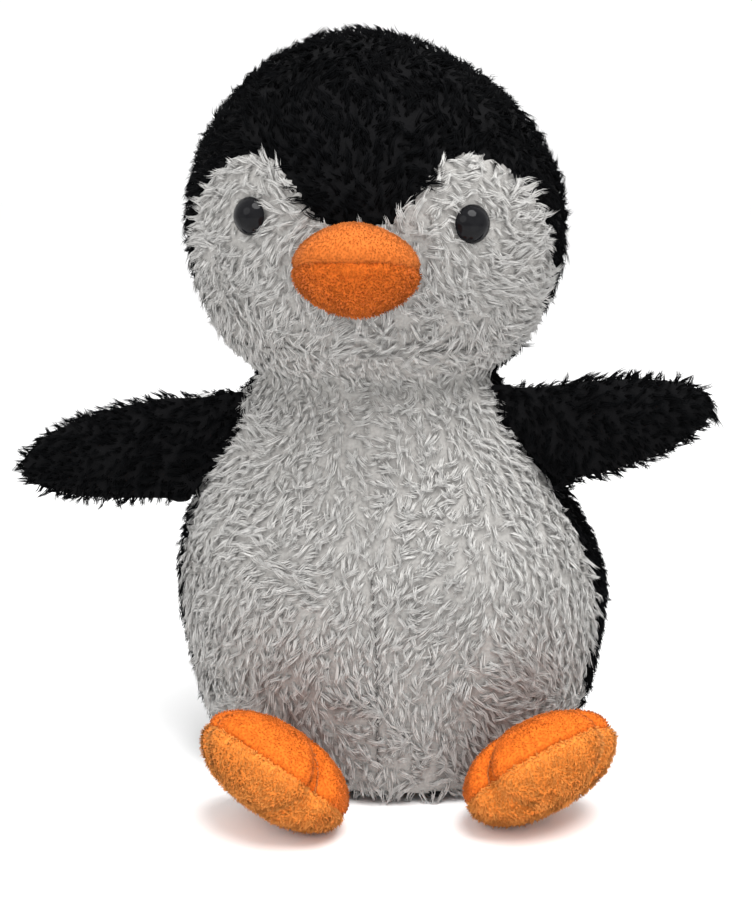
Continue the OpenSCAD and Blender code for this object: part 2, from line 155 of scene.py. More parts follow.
class Maker:
    """Builds one node material with few words."""

    def __init__(self, name):
        self.mat = bpy.data.materials.new(name)
        self.mat.use_nodes = True
        self.tree = self.mat.node_tree
        self.bsdf = self.tree.nodes["Principled BSDF"]

    def node(self, kind, **values):
        made = self.tree.nodes.new(kind)
        for key, value in values.items():
            if key in made.inputs:
                made.inputs[key].default_value = value
            else:
                setattr(made, key, value)
        return made

    def link(self, source, target):
        self.tree.links.new(source, target)

    def set(self, **values):
        for key, value in values.items():
            self.bsdf.inputs[key.replace("_", " ")].default_value = value

    def attribute(self, name):
        return self.node("ShaderNodeAttribute", attribute_name=name).outputs["Fac"]

    def ramp(self, source, stops):
        made = self.node("ShaderNodeValToRGB")
        ramp = made.color_ramp
        while len(ramp.elements) < len(stops):
            ramp.elements.new(0.5)
        for element, (place, colour) in zip(ramp.elements, stops):
            element.position = place
            element.color = (*colour, 1)
        self.link(source, made.inputs["Fac"])
        return made.outputs["Color"]

    def noise(self, scale, detail=2.0, roughness=0.5):
        place = self.node("ShaderNodeTexCoord").outputs["Object"]
        made = self.node("ShaderNodeTexNoise", Scale=scale, Detail=detail, Roughness=roughness)
        self.link(place, made.inputs["Vector"])
        return made.outputs["Fac"]

    def multiply(self, a, b):
        made = self.node("ShaderNodeMix", data_type="RGBA", blend_type="MULTIPLY")
        made.inputs["Factor"].default_value = 1.0
        self.link(a, made.inputs["A"])
        self.link(b, made.inputs["B"])
        return made.outputs["Result"]

    def soft_normal(self, share):
        """Shades strands partly by the surface they grow from, as light bleeds through pile."""
        lay = self.node("ShaderNodeAttribute", attribute_name="lay").outputs["Vector"]
        turn = self.node("ShaderNodeVectorTransform", vector_type="NORMAL",
                         convert_from="OBJECT", convert_to="WORLD")
        self.link(lay, turn.inputs["Vector"])
        own = self.node("ShaderNodeNewGeometry").outputs["Normal"]
        blend = self.node("ShaderNodeMix", data_type="VECTOR")
        blend.inputs["Factor"].default_value = share
        vector_a, vector_b, vector_result = 4, 5, 1
        self.link(own, blend.inputs[vector_a])
        self.link(turn.outputs["Vector"], blend.inputs[vector_b])
        unit = self.node("ShaderNodeVectorMath", operation="NORMALIZE")
        self.link(blend.outputs[vector_result], unit.inputs[0])
        self.link(unit.outputs["Vector"], self.bsdf.inputs["Normal"])

    def bump(self, height, strength, distance):
        made = self.node("ShaderNodeBump", Strength=strength, Distance=distance)
        self.link(height, made.inputs["Height"])
        self.link(made.outputs["Normal"], self.bsdf.inputs["Normal"])


def strand_material(name, root, tip, dull, tint_scale=60.0, soft=0.8):
    """Pile fibre: colour from root to tip, darker at the root as painted shade, each lock a little
    lighter or darker.
    """
    m = Maker(name)
    # root colour darker than the tip colour: painted shade deep in the pile
    along = m.ramp(m.attribute("along"), [(0.0, root), (0.75, tip)])
    tone = m.ramp(m.attribute("tone"), [(0.0, (dull, dull, dull)), (1.0, (1, 1, 1))])
    colour = m.multiply(along, tone)
    patch = m.ramp(m.noise(tint_scale), [(0.35, (0.93, 0.93, 0.93)), (0.65, (1, 1, 1))])
    m.link(m.multiply(colour, patch), m.bsdf.inputs["Base Color"])
    m.soft_normal(soft)
    return m


def plush_white():
    # white fibre darker at its root than its tip: painted shade at the roots
    m = strand_material("white_pile", (0.55, 0.535, 0.515), (0.68, 0.67, 0.65), 0.95)
    m.set(Roughness=0.75, Specular_IOR_Level=0.15, Sheen_Weight=0.1, Sheen_Roughness=0.5)
    return m.mat


def plush_black():
    # black fibre darker at its root than its tip: painted shade at the roots
    m = strand_material("black_pile", (0.0010, 0.0011, 0.0013), (0.0035, 0.0038, 0.0044), 0.5,
                        soft=0.3)
    m.set(Roughness=0.7, Specular_IOR_Level=0.03)
    return m.mat


def backing(name, colour, weave=900.0):
    """Knitted ground of the pile cloth, seen only deep between the locks."""
    m = Maker(name)
    knit = m.noise(weave, 3.0)
    low = tuple(c * 0.75 for c in colour)
    m.link(m.ramp(knit, [(0.3, low), (0.7, colour)]), m.bsdf.inputs["Base Color"])
    m.bump(knit, 0.5, 0.0006)
    m.set(Roughness=0.9, Specular_IOR_Level=0.1)
    return m.mat


ORANGE_SHEEN = dict(Roughness=0.8, Specular_IOR_Level=0.12, Sheen_Weight=0.15,
                    Sheen_Roughness=0.35, Sheen_Tint=(1.0, 0.62, 0.35, 1))


def minky(name, base, deep, curl, strength):
    """Short orange pile: fine worm-like relief, slightly darker in its hollows as painted shade."""
    m = Maker(name)
    place = m.node("ShaderNodeTexCoord").outputs["Object"]
    warp = m.node("ShaderNodeTexNoise", Scale=curl * 0.5, Detail=2.0, Distortion=2.2)
    m.link(place, warp.inputs["Vector"])
    fine = m.node("ShaderNodeTexNoise", Scale=curl * 2.6, Detail=3.0, Distortion=0.8)
    m.link(place, fine.inputs["Vector"])
    total = m.node("ShaderNodeMath", operation="ADD")
    m.link(warp.outputs["Fac"], total.inputs[0])
    m.link(fine.outputs["Fac"], total.inputs[1])
    half = m.node("ShaderNodeMath", operation="MULTIPLY")
    half.inputs[1].default_value = 0.5
    m.link(total.outputs[0], half.inputs[0])
    # the deep colour fills the low parts of the relief: painted shade in the hollows
    m.link(m.ramp(half.outputs[0], [(0.36, deep), (0.58, base)]), m.bsdf.inputs["Base Color"])
    m.bump(half.outputs[0], strength, 0.0012)
    m.set(**ORANGE_SHEEN)
    return m.mat


def orange_fibre(name, root, tip):
    """Fibres of the short orange pile."""
    m = strand_material(name, root, tip, 0.85, 90.0)
    m.set(**ORANGE_SHEEN)
    return m.mat


def eye_plastic():
    m = Maker("eye_gloss")
    faint = m.noise(400.0)
    m.link(m.ramp(faint, [(0.3, (0.004, 0.004, 0.005)), (0.7, (0.007, 0.007, 0.008))]),
           m.bsdf.inputs["Base Color"])
    m.set(Roughness=0.06, Specular_IOR_Level=0.10)
    return m.mat


def thread_material(name, colour):
    m = Maker(name)
    place = m.node("ShaderNodeTexCoord").outputs["Object"]
    twist = m.node("ShaderNodeTexWave", Scale=900.0, Distortion=1.0)
    m.link(place, twist.inputs["Vector"])
    dark = tuple(c * 0.6 for c in colour)
    m.link(m.ramp(twist.outputs["Fac"], [(0.2, dark), (0.8, colour)]),
           m.bsdf.inputs["Base Color"])
    m.bump(twist.outputs["Fac"], 0.4, 0.0002)
    m.set(Roughness=0.7)
    return m.mat


def fibre_fill():
    m = Maker("fibre_fill")
    tangle = m.noise(260.0, 5.0, 0.7)
    m.link(m.ramp(tangle, [(0.3, (0.75, 0.75, 0.74)), (0.7, (0.93, 0.93, 0.92))]),
           m.bsdf.inputs["Base Color"])
    m.bump(tangle, 0.8, 0.002)
    m.set(Roughness=0.95, Sheen_Weight=0.3)
    return m.mat


def moulded(name, colour):
    m = Maker(name)
    grain = m.noise(700.0, 2.0)
    dull = tuple(c * 0.9 for c in colour)
    m.link(m.ramp(grain, [(0.3, dull), (0.7, colour)]), m.bsdf.inputs["Base Color"])
    m.bump(grain, 0.1, 0.0002)
    m.set(Roughness=0.45)
    return m.mat


# Each colour is linear RGB. A _back or plain entry is ground cloth, a _hair entry its fibres.
MATS = {
    "white": plush_white(),
    "black": plush_black(),
    # white ground cloth kept darker than its fibres: painted shade deep between the locks
    "white_back": backing("white_ground", (0.36, 0.35, 0.335)),
    "black_back": backing("black_ground", (0.003, 0.003, 0.0035)),
    # the second colour of each short pile is painted shade for the hollows of its relief
    "foot_smooth": minky("foot_smooth_pile", (0.74, 0.155, 0.014), (0.62, 0.115, 0.009), 420.0, 0.25),
    "foot_curly": minky("foot_curly_pile", (0.80, 0.24, 0.038), (0.66, 0.17, 0.022), 520.0, 0.5),
    "beak_smooth": minky("beak_smooth_pile", (0.56, 0.14, 0.022), (0.48, 0.11, 0.015), 420.0, 0.25),
    "beak_curly": minky("beak_curly_pile", (0.60, 0.125, 0.012), (0.42, 0.07, 0.005), 520.0, 0.8),
    "eye": eye_plastic(),
    "dark_thread": thread_material("belly_stitch", (0.10, 0.095, 0.09)),
    "black_thread": thread_material("neck_stitch", (0.03, 0.03, 0.03)),
    "orange_thread": thread_material("toe_stitch", (0.55, 0.15, 0.02)),
    "fill": fibre_fill(),
    "cloth": backing("pouch_cloth", (0.72, 0.72, 0.70), 1500.0),
    "bean": moulded("bean_plastic", (0.75, 0.76, 0.74)),
    "washer": moulded("washer_plastic", (0.88, 0.88, 0.86)),
    # each hair's first colour, at the root, is darker than its tip: painted shade at the roots
    "foot_smooth_hair": orange_fibre("foot_top_hair", (0.60, 0.11, 0.009), (0.76, 0.17, 0.018)),
    "foot_curly_hair": orange_fibre("foot_sole_hair", (0.76, 0.21, 0.028), (0.93, 0.34, 0.075)),
    "beak_smooth_hair": orange_fibre("beak_top_hair", (0.46, 0.10, 0.010), (0.60, 0.16, 0.028)),
    "beak_curly_hair": orange_fibre("beak_low_hair", (0.44, 0.075, 0.006), (0.72, 0.165, 0.018)),
}

# ---------------------------------------------------------------- skins from the CAD solids


def joined(names, object_name):
    """One new object holding copies of those CAD nodes' meshes."""
    bm = bmesh.new()
    for name in names:
        bm.from_mesh(nodes[name].data)
    mesh = bpy.data.meshes.new(object_name)
    bm.to_mesh(mesh)
    bm.free()
    mesh.materials.clear()
    obj = bpy.data.objects.new(object_name, mesh)
    scene.collection.objects.link(obj)
    return obj


def settle(obj):
    """Puts the result of obj's modifiers in its mesh and removes them."""
    graph = bpy.context.evaluated_depsgraph_get()
    graph.update()
    mesh = bpy.data.meshes.new_from_object(obj.evaluated_get(graph))
    obj.modifiers.clear()
    obj.data = mesh


def keep_biggest(obj):
    """Drops every loose shell but the biggest."""
    bm = bmesh.new()
    bm.from_mesh(obj.data)
    left = set(bm.verts)
    shells = []
    while left:
        seed = left.pop()
        shell, edge = {seed}, [seed]
        while edge:
            vert = edge.pop()
            for e in vert.link_edges:
                other = e.other_vert(vert)
                if other in left:
                    left.discard(other)
                    shell.add(other)
                    edge.append(other)
        shells.append(shell)
    big = max(shells, key=len)
    bmesh.ops.delete(bm, geom=[v for s in shells if s is not big for v in s], context="VERTS")
    bm.to_mesh(obj.data)
    bm.free()


def stuffed(names, voxel, smooth, pressure=4.0, cap=0.004, floor_pin=None):
    """Closed skin over those CAD nodes: remeshed, smoothed, and puffed out as cloth.

    What lies under floor_pin stays where it is.
    """
    obj = joined(names, "skin_" + names[0])
    remesh = obj.modifiers.new("remesh", "REMESH")
    remesh.mode = "VOXEL"
    remesh.voxel_size = voxel
    remesh.use_smooth_shade = True
    soften = obj.modifiers.new("soften", "SMOOTH")
    soften.iterations = smooth
    settle(obj)
    keep_biggest(obj)
    if pressure > 0:
        puff(obj, pressure, cap, floor_pin)
    return obj


CLOTH_FRAMES = 20


def puff(obj, pressure, cap, floor_pin):
    """Blows the skin up a little as cloth, with no point moving more than cap."""
    start = points(obj)
    cloth = obj.modifiers.new("cloth", "CLOTH")
    s = cloth.settings
    s.quality = 5
    s.use_pressure = True
    s.uniform_pressure_force = pressure
    s.effector_weights.gravity = 0
    s.mass = 0.2
    if floor_pin is not None:
        group = obj.vertex_groups.new(name="pin")
        group.add([i for i, z in enumerate(start[:, 2]) if z < floor_pin], 1.0, "REPLACE")
        s.vertex_group_mass = "pin"
    first = scene.frame_current
    for f in range(1, CLOTH_FRAMES + 1):
        scene.frame_set(f)
    settle(obj)
    scene.frame_set(first)
    moved = points(obj) - start
    far = np.linalg.norm(moved, axis=1, keepdims=True)
    set_points(obj, start + moved * np.minimum(1.0, cap / np.maximum(far, 1e-9)))


def points(obj):
    co = np.empty(len(obj.data.vertices) * 3)
    obj.data.vertices.foreach_get("co", co)
    return co.reshape(-1, 3)


def set_points(obj, co):
    obj.data.vertices.foreach_set("co", co.astype(np.float32).ravel())
    obj.data.update()


def normals(obj):
    n = np.empty(len(obj.data.vertices) * 3)
    obj.data.vertex_normals.foreach_get("vector", n)
    return n.reshape(-1, 3)


def subdivide(obj):
    sub = obj.modifiers.new("subdivide", "SUBSURF")
    sub.levels = sub.render_levels = 1
    settle(obj)


BASE_TOP = 3.4 * MM


class Nearest:
    """Says which of some CAD nodes is nearest to a point.

    The base panel counts only for points below BASE_TOP, so no black shows above the floor.
    """

    def __init__(self, names):
        self.names = names
        self.low = [i for i, name in enumerate(names) if name == "base_panel"]
        self.trees = []
        for name in names:
            mesh = nodes[name].data
            verts = [v.co.copy() for v in mesh.vertices]
            faces = [tuple(p.vertices) for p in mesh.polygons]
            self.trees.append(BVHTree.FromPolygons(verts, faces))

    def which(self, place):
        p = Vector(place)
        gaps = [t.find_nearest(p)[3] for t in self.trees]
        if p.z > BASE_TOP:
            for i in self.low:
                gaps[i] = math.inf
        return int(np.argmin(gaps))


def triangles(obj):
    """Corner indices of the mesh's triangles, and the face that each came from."""
    mesh = obj.data
    mesh.calc_loop_triangles()
    count = len(mesh.loop_triangles)
    corners = np.empty(count * 3, np.int32)
    mesh.loop_triangles.foreach_get("vertices", corners)
    owner = np.empty(count, np.int32)
    mesh.loop_triangles.foreach_get("polygon_index", owner)
    return corners.reshape(-1, 3), owner


# ---------------------------------------------------------------- pile


def wander(place, seed, size, count=3):
    """Smooth vector noise of about unit size at each place, with features size metres long."""
    rng = np.random.default_rng(seed)
    total = np.zeros_like(place)
    for octave in range(count):
        k = rng.normal(size=(3, 3)) * (2 * math.pi / size) * 0.5 * (1.6 ** octave)
        phase = rng.uniform(0, 2 * math.pi, 3)
        total += np.sin(place @ k + phase) / (1.25 ** octave)
    return total / 1.6


TRIES = 5
CLOSEST = 0.8


def spread(obj, tris, spacing, rng):
    """Evenly scattered places on the mesh: position and normal of each."""
    co, nor = points(obj), normals(obj)
    a, b, c = (co[tris[:, i]] for i in range(3))
    area = np.linalg.norm(np.cross(b - a, c - a), axis=1) / 2
    want = int(area.sum() / spacing ** 2 * TRIES)
    pick = rng.choice(len(tris), want, p=area / area.sum())
    u, v = rng.random(want), rng.random(want)
    over = u + v > 1
    u[over], v[over] = 1 - u[over], 1 - v[over]
    w = np.stack([1 - u - v, u, v], 1)[:, :, None]
    place = (co[tris[pick]] * w).sum(1)
    normal = (nor[tris[pick]] * w).sum(1)
    normal /= np.linalg.norm(normal, axis=1, keepdims=True)
    kept = thin_out(place, spacing)
    return place[kept], normal[kept]


NEIGHBOURS = [(dx, dy, dz) for dx in (-1, 0, 1) for dy in (-1, 0, 1) for dz in (-1, 0, 1)]


def crowded(p, key, cells, limit):
    """True if a kept place is nearer to p than limit, a squared distance."""
    x, y, z = key
    for dx, dy, dz in NEIGHBOURS:
        for q in cells.get((x + dx, y + dy, z + dz), ()):
            d = p - q
            if d[0] * d[0] + d[1] * d[1] + d[2] * d[2] < limit:
                return True
    return False


def thin_out(place, spacing):
    """Drops places too close to one kept before, found through a grid of cells."""
    cells = {}
    kept = []
    keys = np.floor(place / spacing).astype(int)
    limit = spacing * spacing * CLOSEST
    for i, (key, p) in enumerate(zip(map(tuple, keys), place)):
        if not crowded(p, key, cells, limit):
            cells.setdefault(key, []).append(p)
            kept.append(i)
    return np.array(kept, int)


def across(vector, normal):
    """The part of vector square to normal, at unit length."""
    flat = vector - (vector * normal).sum(1, keepdims=True) * normal
    return flat / np.maximum(np.linalg.norm(flat, axis=1, keepdims=True), 1e-9)


# A strand is RINGS rings of SIDES vertices and a tip, at these shares of its length.
STEPS = np.array([0.0, 0.36, 0.70, 1.0])
RINGS = 3
SIDES = 3
RING_SIZES = (0.85, 1.0, 0.72)
STRAND_VERTS = RINGS * SIDES + 1
ROOT_DEPTH = 0.06
LONG_FLOOR = 0.4 * MM


def locks(place, normal, flow, length, style, rng):
    """Curved tapering strands gathered in locks: vertices, triangles, along, tone and lay."""
    n = len(place)
    k = style["strands"]
    side = np.cross(normal, flow)
    long = length[:, None]
    lift = (style["lift"] + rng.uniform(-0.12, 0.12, n))[:, None]
    bend = rng.uniform(*style["bend"], n)[:, None]
    sway = rng.uniform(-style["sway"], style["sway"], n)[:, None]
    phase = rng.uniform(0, 2 * math.pi, n)[:, None]
    turn = rng.uniform(*style["turn"], n)[:, None] * rng.choice([-1, 1], n)[:, None]
    angle = rng.uniform(0, 2 * math.pi, (n, k))
    ring = np.sqrt(rng.uniform(0, 1, (n, k))) * style["width"]
    foot = (np.cos(angle)[..., None] * flow[:, None] + np.sin(angle)[..., None] * side[:, None])
    foot = foot * ring[..., None]
    stray = rng.normal(size=(n, k, 3)) * style["stray"]
    reach = rng.uniform(0.75, 1.08, (n, k))
    rows = []
    for s in STEPS:
        up = lift * s - (lift * bend * 0.5) * s * s
        out = (1 - lift) * s + bend * 0.45 * s * s
        curl = style["curl"] * s
        middle = (normal * (up - ROOT_DEPTH) + flow * (out + curl * np.cos(phase + turn * s)
                  - curl * np.cos(phase)) + side * (sway * s * s + curl * np.sin(phase + turn * s)
                  - curl * np.sin(phase)))
        centre = place[:, None] + middle[:, None] * long[:, None] * np.where(
            s > 0, reach, 1)[..., None]
        gather = 1 - style["gather"] * s
        rows.append(centre + foot * gather + stray * long[:, None] * s)
    path = np.stack(rows, 2).reshape(n * k, len(STEPS), 3)
    tangent = path[:, 3] - path[:, 0]
    tangent /= np.maximum(np.linalg.norm(tangent, axis=1, keepdims=True), 1e-9)
    guide = np.repeat(normal, k, 0) + rng.normal(size=(n * k, 3)) * 0.4
    u = across(guide, tangent)
    w = np.cross(tangent, u)
    thick = np.repeat(style["radius"] * (0.8 + 0.4 * rng.random(n)), k)
    verts = []
    for j in range(RINGS):
        for q in range(SIDES):
            t = 2 * math.pi * q / SIDES
            r = (thick * RING_SIZES[j])[:, None]
            verts.append(path[:, j] + r * (math.cos(t) * u + math.sin(t) * w))
    verts.append(path[:, 3])
    verts = np.stack(verts, 1)
    verts[:, :, 2] = np.maximum(verts[:, :, 2], style.get("floor", LONG_FLOOR))
    faces = [(0, 2, 1)]
    for j in range(RINGS - 1):
        for q in range(SIDES):
            a, b = SIDES * j + q, SIDES * j + (q + 1) % SIDES
            faces += [(a, b, b + SIDES), (a, b + SIDES, a + SIDES)]
    last, tip = SIDES * (RINGS - 1), SIDES * RINGS
    faces += [(last + q, last + (q + 1) % SIDES, tip) for q in range(SIDES)]
    count = n * k
    faces = np.array(faces)[None] + (np.arange(count) * STRAND_VERTS)[:, None, None]
    along = np.tile(np.repeat(STEPS, [SIDES] * RINGS + [1]), count)
    tone = np.repeat(np.repeat(rng.random(n), k) * 0.75 + rng.random(count) * 0.25,
                     STRAND_VERTS)
    lay = np.repeat(normal, k * STRAND_VERTS, 0)
    return verts.reshape(-1, 3), faces.reshape(-1, 3), along, tone, lay


def patch_mesh(obj, faces_kept, thickness):
    """Vertices and faces of a closed sheet made from some faces of obj, thickened inward."""
    bm = bmesh.new()
    bm.from_mesh(obj.data)
    bm.faces.ensure_lookup_table()
    keep = set(faces_kept)
    bmesh.ops.delete(bm, geom=[f for f in bm.faces if f.index not in keep], context="FACES")
    mesh = bpy.data.meshes.new("patch")
    bm.to_mesh(mesh)
    bm.free()
    sheet = bpy.data.objects.new("patch", mesh)
    scene.collection.objects.link(sheet)
    solid = sheet.modifiers.new("solid", "SOLIDIFY")
    solid.thickness = thickness
    solid.offset = -1
    settle(sheet)
    co = points(sheet)
    tris, _ = triangles(sheet)
    bpy.data.objects.remove(sheet)
    return co, tris


def piece(name, parts, mats):
    """One mesh object from several (vertices, triangles, along, tone, lay, slot) parts.

    The slot of a part is its place in mats, a list of keys of MATS.
    """
    verts, faces, along, tone, lay, slots = [], [], [], [], [], []
    base = 0
    for v, f, a, t, n, m in parts:
        verts.append(v)
        faces.append(f + base)
        along.append(a)
        tone.append(t)
        lay.append(n)
        slots.append(np.full(len(f), m, np.int32))
        base += len(v)
    verts, faces = np.concatenate(verts), np.concatenate(faces).astype(np.int32)
    mesh = bpy.data.meshes.new(name)
    mesh.vertices.add(len(verts))
    mesh.vertices.foreach_set("co", verts.astype(np.float32).ravel())
    mesh.loops.add(len(faces) * 3)
    mesh.loops.foreach_set("vertex_index", faces.ravel())
    mesh.polygons.add(len(faces))
    mesh.polygons.foreach_set("loop_start", np.arange(len(faces), dtype=np.int32) * 3)
    for mat in mats:
        mesh.materials.append(MATS[mat])
    mesh.polygons.foreach_set("material_index", np.concatenate(slots))
    mesh.polygons.foreach_set("use_smooth", np.ones(len(faces), bool))
    for key, value in (("along", along), ("tone", tone)):
        layer = mesh.attributes.new(key, "FLOAT", "POINT")
        layer.data.foreach_set("value", np.concatenate(value).astype(np.float32))
    layer = mesh.attributes.new("lay", "FLOAT_VECTOR", "POINT")
    layer.data.foreach_set("vector", np.concatenate(lay).astype(np.float32).ravel())
    mesh.update()
    mesh.validate()
    obj = bpy.data.objects.new(name, mesh)
    scene.collection.objects.link(obj)
    return obj


def flat_part(verts, tris, slot):
    """A part for piece() that isn't pile."""
    half = np.full(len(verts), 0.5)
    return verts, tris, half, half, np.zeros((len(verts), 3)), slot


# ---------------------------------------------------------------- styles of pile

LONG = dict(strands=9, lift=0.60, bend=(0.3, 0.9), sway=0.4, turn=(2.0, 5.0), curl=0.15,
            width=1.15 * MM, gather=0.66, stray=0.06, radius=0.150 * MM)
SHORT = dict(strands=2, lift=0.75, bend=(0.1, 0.6), sway=0.25, turn=(0.5, 2.0), curl=0.05,
             width=0.35 * MM, gather=0.4, stray=0.08, radius=0.13 * MM, floor=0.0003)

SPACING = 2.25 * MM

eye_places = []
for eye in ("eye_left", "eye_right"):
    low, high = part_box(eye)
    eye_places.append((np.array(low) + np.array(high)) / 2)
upper_low, upper_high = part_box("beak_upper")
lower_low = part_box("beak_lower")[0]
beak_mid = np.array([(upper_low[0] + upper_high[0]) / 2, upper_low[1],
                     (lower_low[2] + upper_high[2]) / 2])


def body_flow(place, normal):
    down = np.tile([0.0, 0.0, -1.0], (len(place), 1))
    return across(down * 0.75 + wander(place, 11, 0.030) * 0.8, normal)


def head_flow(place, normal):
    away = place - beak_mid
    away /= np.linalg.norm(away, axis=1, keepdims=True)
    down = np.tile([0.0, 0.0, -1.0], (len(place), 1))
    return across(away * 0.55 + down * 0.35 + wander(place, 23, 0.028) * 0.8, normal)


# Round each eye: how far out the pile starts, and over how many millimetres it rises to full.
TUFT_SIDE = 0.35
BARE_NEAR_BEAK, BARE_AWAY = 4.6, 5.4
RISE_NEAR_BEAK, RISE_AWAY = 2.0, 6.0


def face_length(place, length):
    """No pile under the eyes, and full tufts close to them on the beak's side only."""
    for eye in eye_places:
        gap = np.linalg.norm(place - eye, axis=1)
        toward = (place - eye) @ across((beak_mid - eye)[None], np.array([[0, -1.0, 0]]))[0]
        near_beak = toward > TUFT_SIDE * gap
        bare = np.where(near_beak, BARE_NEAR_BEAK, BARE_AWAY) * MM
        rise = np.where(near_beak, RISE_NEAR_BEAK, RISE_AWAY) * MM
        length = length * np.clip((gap - bare) / rise, 0.0, 1.0) ** 0.6
    return length


GROUND = 1.2 * MM
SHORTEST = 0.5 * MM


def grow(skin, panels, colours, flow, style, spacing, base_length, trim=None, seed=1,
         suffix="_cloth"):
    """Fur and ground cloth for each panel of a skin. Returns a dict of pieces by panel."""
    rng = np.random.default_rng(seed)
    near = Nearest(panels)
    tris, owner = triangles(skin)
    co = points(skin)
    centres = co[tris].mean(1)
    face_centres = {}
    for i, f in enumerate(owner):
        face_centres.setdefault(int(f), []).append(centres[i])
    face_panel = {f: near.which(np.mean(c, 0)) for f, c in face_centres.items()}
    place, normal = spread(skin, tris, spacing, rng)
    panel = np.array([near.which(p) for p in place])
    length = base_length * (0.85 + 0.3 * rng.random(len(place)))
    if trim is not None:
        length = trim(place, length)
    made = {}
    for i, name in enumerate(panels):
        if name not in colours:
            continue
        colour = colours[name]
        mine = (panel == i) & (length > SHORTEST)
        where, up, tall = place[mine], normal[mine], length[mine]
        hairs = locks(where, up, flow(where, up), tall, style, rng)
        ground, sheet = patch_mesh(skin, [f for f, p in face_panel.items() if p == i],
                                   GROUND)
        obj = piece(name + suffix, [flat_part(ground, sheet, 0),
                    (*hairs, 1)], (colour + "_back", colour))
        made[name] = obj
    bpy.data.objects.remove(skin)
    return made


def inset(obj, depth, floor=0.0):
    """Moves the skin inward by depth, keeping it above the floor."""
    co = points(obj) - normals(obj) * depth
    co[:, 2] = np.maximum(co[:, 2], floor)
    set_points(obj, co)


def path_of(name, count):
    """Middle line of a thread node, from one end to the other."""
    co = points(nodes[name])
    middle = co.mean(0)
    axis = np.linalg.svd(co - middle, full_matrices=False)[2][0]
    axis = axis if axis[2] >= 0 else -axis
    along = (co - middle) @ axis
    edges = np.linspace(along.min(), along.max(), 9)
    found = []
    for a, b in zip(edges[:-1], edges[1:]):
        inside = (along >= a - 1e-6) & (along <= b + 1e-6)
        if inside.any():
            found.append(co[inside].mean(0))
    found = np.array(found)
    k = np.linspace(0, len(found) - 1, count)
    return np.stack([np.interp(k, np.arange(len(found)), found[:, i]) for i in range(3)], 1)


def on_skin(obj, path):
    """Each place of the path moved to the nearest point of the skin."""
    tree = BVHTree.FromObject(obj, bpy.context.evaluated_depsgraph_get())
    return np.array([tree.find_nearest(Vector(p))[0] for p in path])


def tube(path, radius, sides=6):
    """Closed round strand along a path: vertices and triangles."""
    way = np.gradient(path, axis=0)
    way /= np.linalg.norm(way, axis=1, keepdims=True)
    guide = np.tile([0.31, 0.52, 0.79], (len(path), 1))
    u = across(guide, way)
    w = np.cross(way, u)
    verts = [path[:1], path[-1:]]
    for q in range(sides):
        t = 2 * math.pi * q / sides
        verts.append(path + radius * (math.cos(t) * u + math.sin(t) * w))
    n = len(path)
    faces = []
    for q in range(sides):
        a, b = 2 + q * n, 2 + (q + 1) % sides * n
        faces += [(0, b, a), (1, a + n - 1, b + n - 1)]
        for j in range(n - 1):
            faces += [(a + j, b + j, b + j + 1), (a + j, b + j + 1, a + j + 1)]
    return np.concatenate(verts), np.array(faces)


def stitches(name, rows, radius, proud, out, mat, seed):
    """Row of separate stitches along a seam, each diving into the cloth at both ends."""
    rng = np.random.default_rng(seed)
    parts = []
    for a, b in zip(rows[:-1], rows[1:]):
        if np.linalg.norm(b - a) < 1e-5:
            continue
        k = np.array([0.22, 0.34, 0.5, 0.66, 0.78])[:, None]
        sag = np.array([-1.6, -0.1, 0.0, -0.1, -1.6])[:, None] * MM
        shift = rng.normal(size=3) * 0.12 * MM
        line = a + (b - a) * k + out * (proud + sag) + shift
        verts, tris = tube(line, radius * rng.uniform(0.85, 1.1))
        parts.append(flat_part(verts, tris, 0))
    return piece(name, parts, (mat,))


# ---------------------------------------------------------------- body

PILE = 6.6 * MM
PRESSED_PILE = 1.3 * MM
DEPTH = 3.2 * MM
SEAM_PART = 2.0 * MM

torso = stuffed(["belly_left", "belly_right", "back_left", "back_right", "base_panel",
                 "torso_stuffing", "bean_pouch", "bean_fill"], 4 * MM, 3, floor_pin=0.006)
subdivide(torso)
inset(torso, DEPTH, 0.6 * MM)

seam_path = path_of("belly_thread", 44)
seam_front = on_skin(torso, seam_path)


def belly_trim(place, length):
    """Pile parts along the belly's middle seam and is pressed short under the base."""
    seam_x = np.interp(place[:, 2], seam_front[:, 2], seam_front[:, 0])
    off = np.abs(place[:, 0] - seam_x)
    parted = (place[:, 1] < 0) & (off < SEAM_PART)
    length = np.where(parted, length * (0.45 + 0.55 * off / SEAM_PART), length)
    return np.where(place[:, 2] < BASE_TOP, PRESSED_PILE, length)


STITCHES_LOW, STITCHES_HIGH = 12 * MM, 78 * MM
stitch_rows = seam_front[(seam_front[:, 2] > STITCHES_LOW) & (seam_front[:, 2] < STITCHES_HIGH)]
belly_stitches = stitches("belly_thread_stitches", stitch_rows, radius=0.24 * MM,
                          proud=1.0 * MM, out=np.array([0.0, -1.0, 0.0]),
                          mat="dark_thread", seed=21)
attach(belly_stitches, "torso")
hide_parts("belly_thread")

body_colours = {"belly_left": "white", "belly_right": "white",
                "back_left": "black", "back_right": "black", "base_panel": "black"}
body_pieces = grow(torso, list(body_colours) + ["torso_stuffing"], body_colours,
                   body_flow, LONG, SPACING, PILE, belly_trim, seed=5)
for name, obj in body_pieces.items():
    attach(obj, "torso")
    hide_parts(name)

# ---------------------------------------------------------------- neck


